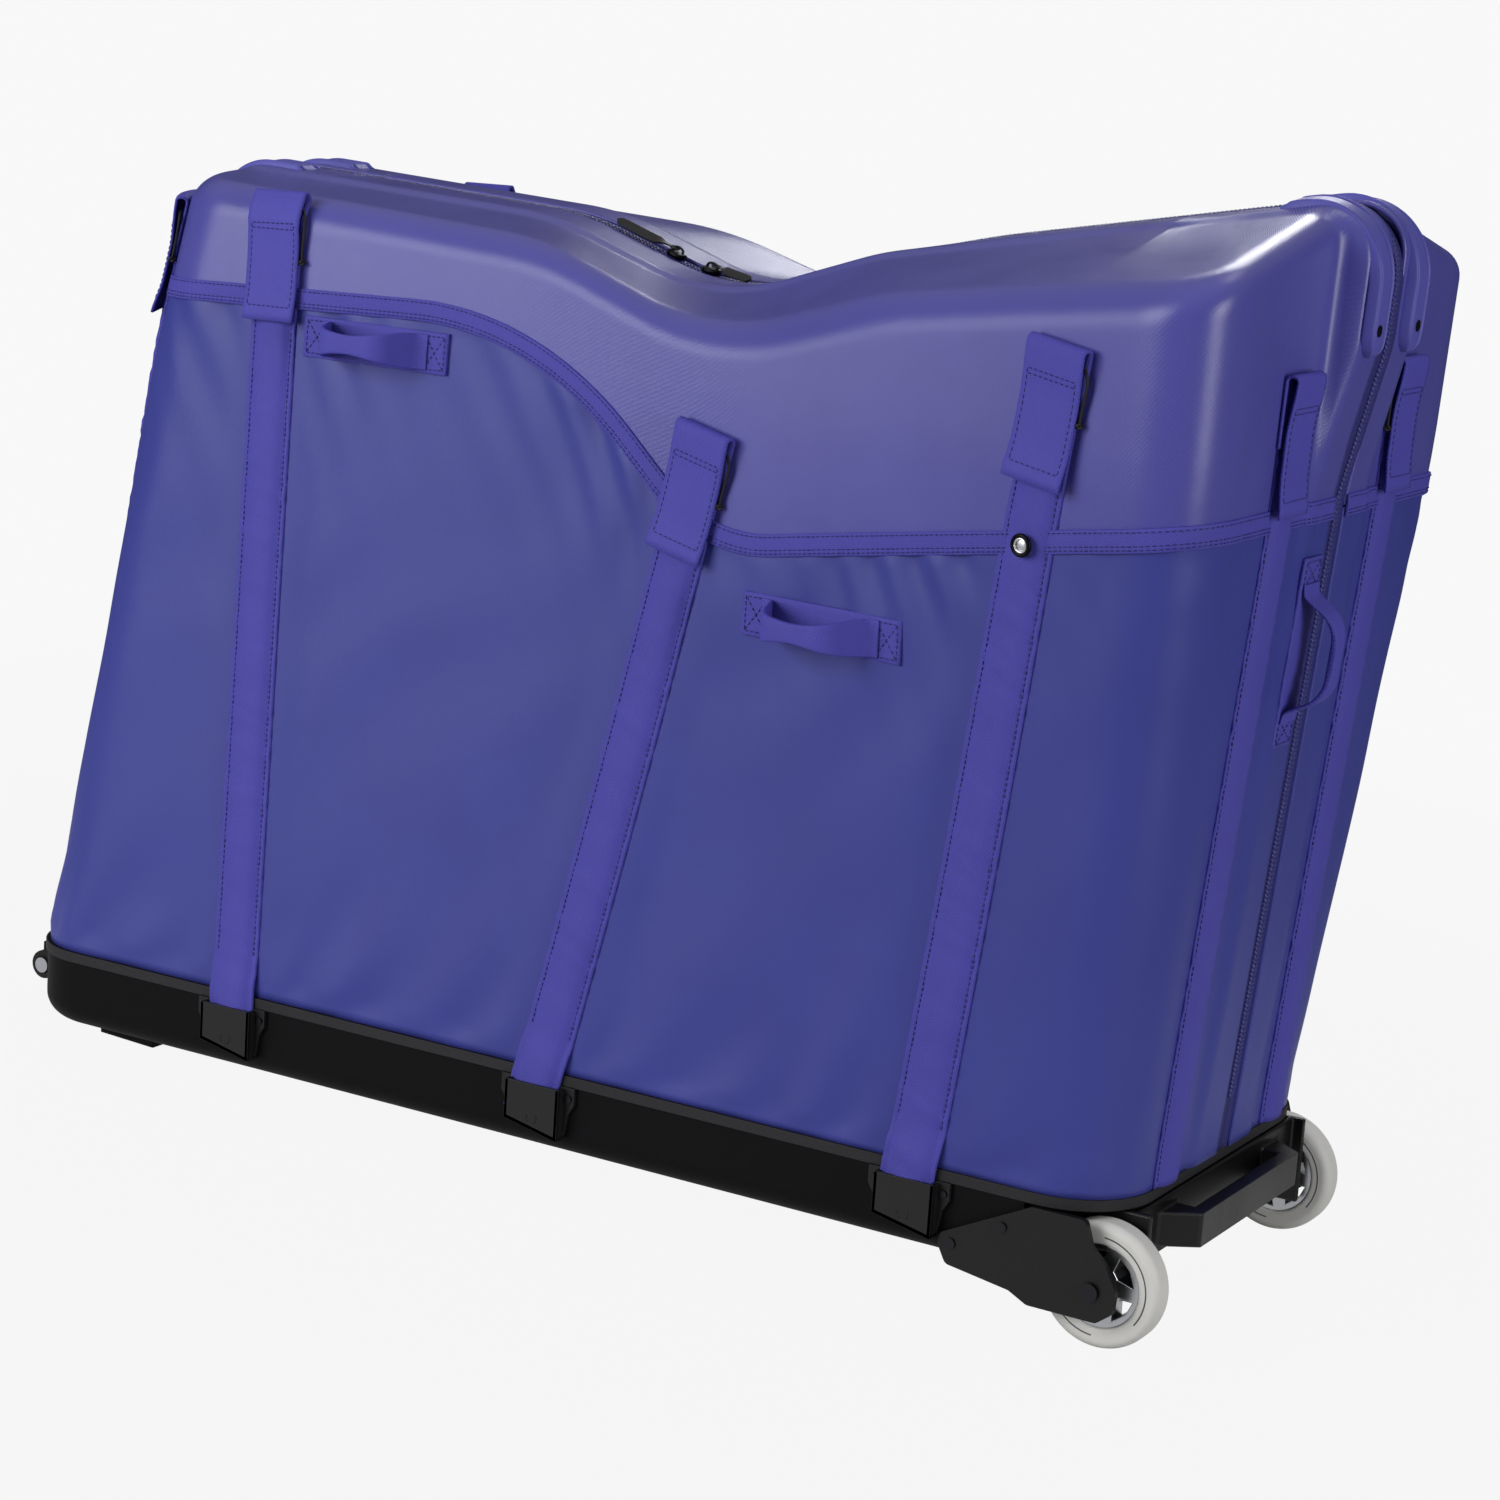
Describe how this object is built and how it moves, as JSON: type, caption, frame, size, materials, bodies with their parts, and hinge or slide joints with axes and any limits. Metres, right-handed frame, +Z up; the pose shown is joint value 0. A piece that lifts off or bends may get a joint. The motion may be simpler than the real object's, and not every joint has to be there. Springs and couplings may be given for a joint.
{
  "type": "bike travel case",
  "caption": "Soft-sided bicycle travel case: wheeled black tray, zipped fabric halves with moulded tops that swing open, stay sleeves, webbing handles and an inner bike stand.",
  "frame": {"origin": "on the floor under the middle of the case: the tyres and the skid's sole stand on Z = 0", "axes": "+X towards the wheel end, +Y towards the far side (the side away from the upright end handle), +Z up"},
  "size_m": [1.1697, 0.5108, 0.8629],
  "materials": {
    "tray_black": "grained moulded plastic",
    "binding_black": "woven binding tape",
    "board": "ribbed plastic board",
    "steel": "turned steel",
    "black_metal": "black painted metal",
    "stand_metal": "extruded aluminium",
    "stand_rubber": "moulded rubber",
    "tyre_grey": "smooth cast polyurethane",
    "hub_metal": "cast and machined",
    "pull_black": "soft moulded pull",
    "cord_black": "braided elastic cord",
    "eyelet_metal": "pressed metal",
    "stay_rod": "glass-fibre strip",
    "zip_coil": "coil zip",
    "guard_plastic": "ribbed moulded plastic",
    "shell_twill": "moulded twill with a satin sheen",
    "wall_fabric": "coated woven fabric, satin",
    "webbing": "ribbed webbing"
  },
  "bodies": {
    "base": {"base_tray": "tray_black", "rim_binding": "binding_black", "floor_board": "board", "front_skid": "tray_black", "rub_tube": "tray_black", "rub_core": "steel", "rub_saddles": "tray_black", "rear_carrier": "tray_black", "near_wheel_cheek": "tray_black", "far_wheel_cheek": "tray_black", "base_rivets": "black_metal", "axle_bolts": "steel", "axle_collars": "steel", "near_strap_sockets": "tray_black", "far_strap_sockets": "tray_black", "stand_rail": "stand_metal", "fork_block": "stand_metal", "thru_axle": "steel", "frame_rest": "stand_rubber"},
    "near_wheel": {"near_tyre": "tyre_grey", "near_hub": "hub_metal", "near_bearings": "steel"},
    "near_half": {"near_upper_shell": "shell_twill", "near_fabric_wall": "wall_fabric", "near_hem_tape": "webbing", "near_stay_sleeves": "wall_fabric", "near_stays": "stay_rod", "near_stay_caps": "webbing", "near_cord_ends": "cord_black", "near_eyelet": "eyelet_metal", "near_handle_patches": "webbing", "near_zip_tape": "wall_fabric", "near_zip_chain": "zip_coil", "near_corner_guards": "guard_plastic", "near_guard_screws": "black_metal"},
    "far_wheel": {"far_tyre": "tyre_grey", "far_hub": "hub_metal", "far_bearings": "steel"},
    "far_half": {"far_upper_shell": "shell_twill", "far_fabric_wall": "wall_fabric", "far_hem_tape": "webbing", "far_stay_sleeves": "wall_fabric", "far_stays": "stay_rod", "far_stay_caps": "webbing", "far_cord_ends": "cord_black", "far_eyelet": "eyelet_metal", "far_handle_patches": "webbing", "far_zip_tape": "wall_fabric", "far_zip_chain": "zip_coil", "far_corner_guards": "guard_plastic", "far_guard_screws": "black_metal"},
    "front_slider": {"front_zip_slider": "black_metal"},
    "front_pull": {"front_zip_pull": "pull_black"},
    "rear_slider": {"rear_zip_slider": "black_metal"},
    "rear_pull": {"rear_zip_pull": "pull_black"},
    "near_front_loop": {"near_front_handle_loop": "webbing"},
    "near_rear_loop": {"near_rear_handle_loop": "webbing"},
    "far_front_loop": {"far_front_handle_loop": "webbing"},
    "far_rear_loop": {"far_rear_handle_loop": "webbing"},
    "near_end_loop": {"near_end_handle_loop": "webbing"}
  },
  "joints": [
    {"name": "near_wheel_spin", "type": "hinge", "parent": "base", "child": "near_wheel", "pos_m": [0.51293, -0.1715, 0.05], "axis": [0, 1, 0], "continuous": true},
    {"name": "far_wheel_spin", "type": "hinge", "parent": "base", "child": "far_wheel", "pos_m": [0.51293, 0.1715, 0.05], "axis": [0, 1, 0], "continuous": true},
    {"name": "near_half_open", "type": "hinge", "parent": "base", "child": "near_half", "pos_m": [-0.01576, -0.2, 0.09341], "axis": [0.9992, 0, 0.0404], "range_deg": [0, 35]},
    {"name": "far_half_open", "type": "hinge", "parent": "base", "child": "far_half", "pos_m": [-0.01576, 0.2, 0.09341], "axis": [-0.9992, 0, -0.0404], "range_deg": [0, 35]},
    {"name": "front_slider_run", "type": "slide", "parent": "near_half", "child": "front_slider", "axis": [-0.9617, 0, 0.274], "range_m": [0, 0.04]},
    {"name": "rear_slider_run", "type": "hinge", "parent": "near_half", "child": "rear_slider", "pos_m": [0.00959, 0, 0.9228], "axis": [0, -1, 0], "range_deg": [0, 27]},
    {"name": "front_pull_flip", "type": "hinge", "parent": "front_slider", "child": "front_pull", "pos_m": [-0.05372, 0, 0.74816], "axis": [0, 1, 0], "range_deg": [0, 85]},
    {"name": "rear_pull_flip", "type": "hinge", "parent": "rear_slider", "child": "rear_pull", "pos_m": [-0.01966, 0, 0.73982], "axis": [0, -1, 0], "range_deg": [0, 85]},
    {"name": "near_front_loop_swing", "type": "hinge", "parent": "near_half", "child": "near_front_loop", "pos_m": [-0.2364, -0.17286, 0.65061], "axis": [0.9986, -0.0335, 0.0404], "range_deg": [-30, 35]},
    {"name": "near_rear_loop_swing", "type": "hinge", "parent": "near_half", "child": "near_rear_loop", "pos_m": [0.22476, -0.21448, 0.50614], "axis": [0.9926, -0.1146, 0.0402], "range_deg": [-30, 35]},
    {"name": "far_front_loop_swing", "type": "hinge", "parent": "far_half", "child": "far_front_loop", "pos_m": [-0.2364, 0.17286, 0.65061], "axis": [-0.9986, -0.0335, -0.0404], "range_deg": [-30, 35]},
    {"name": "far_rear_loop_swing", "type": "hinge", "parent": "far_half", "child": "far_rear_loop", "pos_m": [0.22476, 0.21448, 0.50614], "axis": [-0.9926, -0.1146, -0.0402], "range_deg": [-30, 35]},
    {"name": "near_end_loop_swing", "type": "hinge", "parent": "near_half", "child": "near_end_loop", "pos_m": [0.55404, -0.038, 0.5276], "axis": [0.0405, 0, 0.9992], "range_deg": [-30, 30]}
  ]
}
